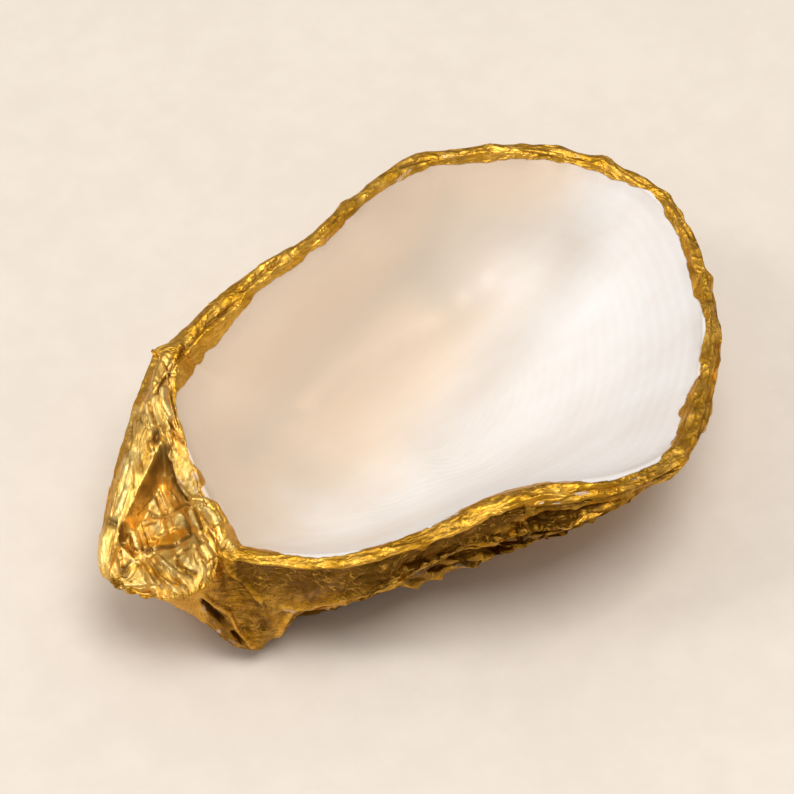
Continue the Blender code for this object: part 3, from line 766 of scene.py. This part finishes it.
# Painted light on the hinge plate: all of it a little lighter, its facets lighter still, its folds in
# painted orange shade
facet_light = np.clip(0.5 * on_hinge + brushed(seen, PAINTED_FACET_LIGHT, 1.25) * facing, -1, 1.1)
rubbed = np.max([ease(1.4 - line_distance(seen, points)[0] / width) for width, points in RUBBED], 0)
rubbed = rubbed * (facing > 0.5)

# The lining is tan along the back and the hinge end, less and less towards the near far corner, and along
# the valley lines: partly a stain, partly painted shade of the back wall and the valleys
stain_and_shade = ease(0.25 - (rings @ STAIN_AND_SHADE_SLOPE) / 250 + 0.2 * (patches(rings, 26.0, 51) - 0.5))
stain_and_shade = stain_and_shade + swelled(seen, ((0.14, 34, BOWL_SWELLS[0][2]), (0.06, 26, BOWL_SWELLS[2][2])))
# Painted shade and painted light of the lining
bowl_shading = swelled(seen, PAINTED_BOWL_SHADING) * in_bowl


def mesh_of_rings(name, rings, values):
    """A closed mesh from a grid of rings whose first and last rings are single points. Each value is kept
    as an attribute of the mesh's points."""
    count = rings.shape[1]
    inner = rings[1:-1].reshape(-1, 3)
    points = np.concatenate([inner, rings[:1, 0], rings[-1:, 0]]) * MM
    first, last = len(inner), len(inner) + 1
    row = np.arange(len(rings) - 3)[:, None] * count
    place = np.arange(count)[None]
    after = (place + 1) % count
    corners = [row + place, row + count + place, row + count + after, row + after]
    quads = np.stack(corners, -1).reshape(-1, 4)
    bottom = (len(rings) - 3) * count
    start_fan = np.stack([np.full(count, first), place[0], after[0]], -1)
    end_fan = np.stack([np.full(count, last), bottom + after[0], bottom + place[0]], -1)
    mesh = bpy.data.meshes.new(name)
    mesh.from_pydata(points.tolist(), [], quads.tolist() + start_fan.tolist() + end_fan.tolist())
    mesh.shade_smooth()
    for label, value in values.items():
        kind, field = ("FLOAT_VECTOR", "vector") if value.ndim == 3 else ("FLOAT", "value")
        ends = [value[0, 0].ravel(), value[-1, 0].ravel()]
        value = np.concatenate([value[1:-1].reshape(len(inner), -1), ends])
        kept_values = mesh.attributes.new(label, kind, "POINT").data
        kept_values.foreach_set(field, value.ravel().astype(np.float32))
    return mesh


shell_mesh = mesh_of_rings("oyster_valve", rings, {
    "gold_side": gold_side, "hollow": hollow, "rubbed": rubbed, "wall_shade": wall_shade, "facet_light": facet_light,
    "hinge": on_hinge, "stain_and_shade": stain_and_shade, "bowl_shading": bowl_shading, "growth": np.maximum(down_bowl, 0),
    "along_leaf": rolled * (1, 1, 0.8),
})
shell = bpy.data.objects.new("oyster_valve", shell_mesh)
scene.collection.objects.link(shell)


class Wire:
    """A socket in a material's node tree. Sums and products of wires add the Math nodes for them."""

    def __init__(self, tree, socket=None):
        self.tree = tree
        self.socket = socket

    def add(self, kind, settings=None, sockets=None, output=0):
        """Adds a node: its settings first, then its sockets' values or links; gives back one output."""
        node = self.tree.nodes.new(kind)
        for key, value in (settings or {}).items():
            setattr(node, key, value)
        attach(self.tree, node, sockets or {})
        return Wire(self.tree, node.outputs[output])

    def maths(self, operation, *others):
        """A Math node on this socket and the others."""
        return self.add("ShaderNodeMath", {"operation": operation}, dict(enumerate((self, *others))))

    def __add__(self, other):
        return self.maths("ADD", other)

    def __sub__(self, other):
        return self.maths("SUBTRACT", other)

    def __mul__(self, other):
        return self.maths("MULTIPLY", other)

    def __rsub__(self, other):
        return self.add("ShaderNodeMath", {"operation": "SUBTRACT"}, {0: other, 1: self})

    __radd__ = __add__
    __rmul__ = __mul__

    def between(self, low, high):
        """0 at low and 1 at high, with a smooth S between."""
        sockets = {"Value": self, "From Min": low, "From Max": high}
        return self.add("ShaderNodeMapRange", {"interpolation_type": "SMOOTHSTEP"}, sockets)

    def mixed(self, first, second):
        """The first colour where this is 0 and the second where it is 1."""
        settings = {"data_type": "RGBA"}
        return self.add("ShaderNodeMix", settings, {0: self, 6: first, 7: second}, 2)


def attach(tree, node, sockets):
    """Links a node's sockets to wires, or sets their own values."""
    for key, value in sockets.items():
        if isinstance(value, Wire):
            tree.links.new(value.socket, node.inputs[key])
        else:
            node.inputs[key].default_value = value


def new_finish(name):
    """An empty material with its shader: gives the material, a wire to build on and the shader node."""
    material = bpy.data.materials.new(name)
    material.use_nodes = True
    tree = material.node_tree
    return material, Wire(tree), tree.nodes["Principled BSDF"]


GOLD_HIGHLIGHT = (1.0, 0.73, 0.25, 1.0)
GOLD_BRIGHT = (0.92, 0.52, 0.08, 1.0)
GOLD_DEEP = (0.74, 0.37, 0.026, 1.0)
GOLD_FOLD_SHADE = (0.72, 0.34, 0.02, 1.0)
GOLD_SHADE = (0.15, 0.062, 0.002, 1.0)
PEARL_WHITE = (0.825, 0.81, 0.8, 1.0)
PEARL_PINK = (0.785, 0.745, 0.725, 1.0)
PEARL_TAN = (0.755, 0.595, 0.445, 1.0)
PEARL_SHADE = (0.52, 0.45, 0.38, 1.0)
PEARL_LIT = (0.99, 0.78, 0.57, 1.0)
RUBBED_SHELL = (0.74, 0.52, 0.38, 1.0)

gilt_pearl, wire, shader = new_finish("gilt_and_pearl")
place = wire.add("ShaderNodeTexCoord", output=3)


def kept(name, output=2):
    """A value that was kept with the surface's points, or with output 1 a vector."""
    return wire.add("ShaderNodeAttribute", {"attribute_name": name}, output=output)


def noise(scale, detail=2.0, roughness=0.5, places=None, settings=None, **more):
    """Cloudy noise through the object, scale in waves to the metre, or through the places given."""
    sockets = {"Vector": places or place, "Scale": scale, "Detail": detail, "Roughness": roughness}
    return wire.add("ShaderNodeTexNoise", settings, sockets | more)


def thin_lines(clouds, reach):
    """1 where cloudy noise is at its middle value, and 0 where it is further than reach from it."""
    return (clouds - 0.5).maths("ABSOLUTE").between(reach, 0.0)


# Where the leaf lies: it ends raggedly, and is rubbed through in spots
ragged = kept("gold_side") + (noise(420.0, 3.0) - 0.5) * 0.9 + (noise(150.0, 2.0) - 0.5) * 0.6
bare = (kept("rubbed") * 0.75 + (noise(600.0, 4.0, 0.6) - 0.5) * 2.0).between(0.55, 0.95) * 0.7
gold = ragged.between(-0.08, 0.08) * (1 - bare)

# Marks drawn out along the leaf: sharp creases, thin dark lines and thin painted glints of light
along_leaf = kept("along_leaf", 1)
ridged = {"noise_type": "RIDGED_MULTIFRACTAL"}
creases = noise(0.42, 4.0, 0.6, along_leaf, ridged, Offset=1.0, Gain=1.2)
cracks = thin_lines(noise(0.42, 4.0, 0.6, along_leaf), 0.035) * kept("wall_shade").between(0.0, 0.5)
glints = thin_lines(noise(0.55, 1.0, 0.4, along_leaf), 0.022) * kept("wall_shade").between(0.1, 0.5)

# The leaf's colour: deep and bright in patches, painted highlights and orange painted shade on the
# plate's facets, and dark painted shade on the front wall, in the hollows and along thin dark lines,
# with painted glints of light on top
# Painted highlights on the plate's facets, and painted orange shade in its folds below
facet_highlight = kept("facet_light") * (0.55 + 0.9 * noise(330.0, 3.0))
# Painted shade of the front wall, broken up by noise
painted_wall_shade = kept("wall_shade") * (1.7 * noise(420.0, 4.0, 0.65) - 0.2)
# Painted shade in the hollows and along the thin dark lines
hollow_shade = (kept("hollow") * (0.4 + noise(200.0, 2.0)) + 0.5 * cracks).between(0.15, 1.1)
gilt = noise(260.0, 3.0).between(0.35, 0.65).mixed(GOLD_DEEP, GOLD_BRIGHT)
gilt = kept("facet_light").between(0.0, -1.0).mixed(gilt, GOLD_FOLD_SHADE)
gilt = facet_highlight.between(0.0, 1.2).mixed(gilt, GOLD_HIGHLIGHT)
gilt = painted_wall_shade.between(0.0, 1.1).mixed(gilt, GOLD_SHADE)
gilt = (hollow_shade * 0.8).mixed(gilt, GOLD_SHADE)
gilt = (glints * noise(240.0, 3.0).between(0.4, 0.6) * 0.7).mixed(gilt, GOLD_BRIGHT)

# The pearl's colour: faint veils drawn out along the bowl, the tan of stain and painted shade, and painted
# shade, greyer, and painted light, paler
drawn_out = wire.add("ShaderNodeVectorMath", {"operation": "MULTIPLY"}, {0: place, 1: (0.3, 1.0, 1.0)})
veils = noise(105.0, 4.0, 0.6, drawn_out)
shading_and_veils = kept("bowl_shading") + (veils - 0.5) * 0.3
pearl = (0.6 * noise(38.0, 3.0) + 0.4 * veils).between(0.38, 0.66).mixed(PEARL_WHITE, PEARL_PINK)
pearl = (kept("stain_and_shade") + (veils - 0.5) * 0.6).between(-0.15, 1.15).mixed(pearl, PEARL_TAN)
pearl = (0.0 - shading_and_veils).maths("MAXIMUM", 0.0).mixed(pearl, PEARL_LIT)
pearl = shading_and_veils.maths("MAXIMUM", 0.0).mixed(pearl, PEARL_SHADE)
pearl = bare.mixed(pearl, RUBBED_SHELL)

# The finest relief: creases and grain in the leaf, and growth ripples in the pearl where its tan of stain
# and painted shade is faint
growth = (kept("growth") * 3.4 + noise(45.0, 2.0) * 7.0).maths("SINE")
ripples = growth * kept("stain_and_shade").between(0.45, 0.05) * 0.12 + noise(220.0, 3.0) * 0.25
leaf_relief = creases * (0.5 - 0.32 * kept("hinge")) + noise(900.0, 4.0, 0.6) * 0.45
relief = gold * leaf_relief + (1 - gold) * ripples * 0.6
fine_bump = wire.add("ShaderNodeBump", None, {"Strength": 0.48, "Distance": 0.0004, "Height": relief})
leaf_gloss = 0.36 + 0.16 * noise(300.0, 3.0)
pearl_gloss = 0.5 + 0.16 * noise(60.0, 2.0)
attach(wire.tree, shader, {
    "Base Color": gold.mixed(pearl, gilt),
    "Metallic": gold * (1 - hollow_shade * 0.15),
    "Roughness": gold * leaf_gloss + (1 - gold) * pearl_gloss,
    "Coat Weight": (1 - gold) * 0.06 + gold * 0.35 * kept("hinge"),
    "Coat Roughness": 0.25,
    "Subsurface Weight": 0.1,
    "Subsurface Radius": (0.004, 0.003, 0.002),
    "Subsurface Scale": 1.0,
    "Normal": fine_bump,
})
shell_mesh.materials.append(gilt_pearl)
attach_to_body(shell, "root")
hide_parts("oyster_shell")

# The table top: one wide sheet of plain cream paper that the shell stands on.
# Its tone is nearly even, with faint clouds and a fine mottle.

FLOOR_HALF = 1.5
PAPER_DEEP = (0.77, 0.692, 0.605, 1.0)
PAPER_PALE = (0.805, 0.727, 0.64, 1.0)

corners = [(x * FLOOR_HALF, y * FLOOR_HALF, 0) for x, y in ((-1, -1), (1, -1), (1, 1), (-1, 1))]
floor_mesh = bpy.data.meshes.new("table_top")
floor_mesh.from_pydata(corners, [], [(0, 1, 2, 3)])
floor = bpy.data.objects.new("table_top", floor_mesh)
scene.collection.objects.link(floor)
paper, wire, shader = new_finish("cream_paper")
place = wire.add("ShaderNodeTexCoord", output=3)
mottle = (0.5 * noise(28.0, 4.0) + 0.5 * noise(190.0, 5.0, 0.6)).between(0.36, 0.64)
attach(wire.tree, shader, {
    "Base Color": mottle.mixed(PAPER_DEEP, PAPER_PALE),
    "Roughness": 0.9,
    "Specular IOR Level": 0.15,
})
floor_mesh.materials.append(paper)

# The light: one soft light overhead and a little in front, a small one at the left like a window, and the
# pale fill of the room, which is brightest at the ceiling and warm and dim below.

CEILING = (-0.03, -0.02, 0.95)
ROOM_LOW = (0.16, 0.088, 0.028, 1.0)
ROOM_PALE = (1.02, 1.02, 1.01, 1.0)
ROOM_STRENGTH = 0.57


def soft_light(name, location, size, power, colour):
    """A square area light that points at the shell."""
    lamp = bpy.data.lights.new(name, "AREA")
    lamp.size = size
    lamp.energy = power
    lamp.color = colour
    light = bpy.data.objects.new(name, lamp)
    light.location = location
    scene.collection.objects.link(light)
    pointed(light, (0, 0, 0))


soft_light("window", (-0.72, 0.42, 0.86), size=0.3, power=2.9, colour=(1.0, 0.985, 0.96))
soft_light("skylight", (-0.02, -0.28, 1.2), size=0.6, power=9.2, colour=(1.0, 0.99, 0.97))
world = bpy.data.worlds.new("room")
world.use_nodes = True
wire = Wire(world.node_tree)
direction = wire.add("ShaderNodeTexCoord", output=0)
upwards = wire.add("ShaderNodeVectorMath", {"operation": "DOT_PRODUCT"}, {0: direction, 1: CEILING}, 1)
room = upwards.between(0.1, 0.78).mixed(ROOM_LOW, ROOM_PALE)
attach(world.node_tree, world.node_tree.nodes["Background"], {"Color": room, "Strength": ROOM_STRENGTH})
scene.world = world
scene.view_settings.view_transform = "Standard"
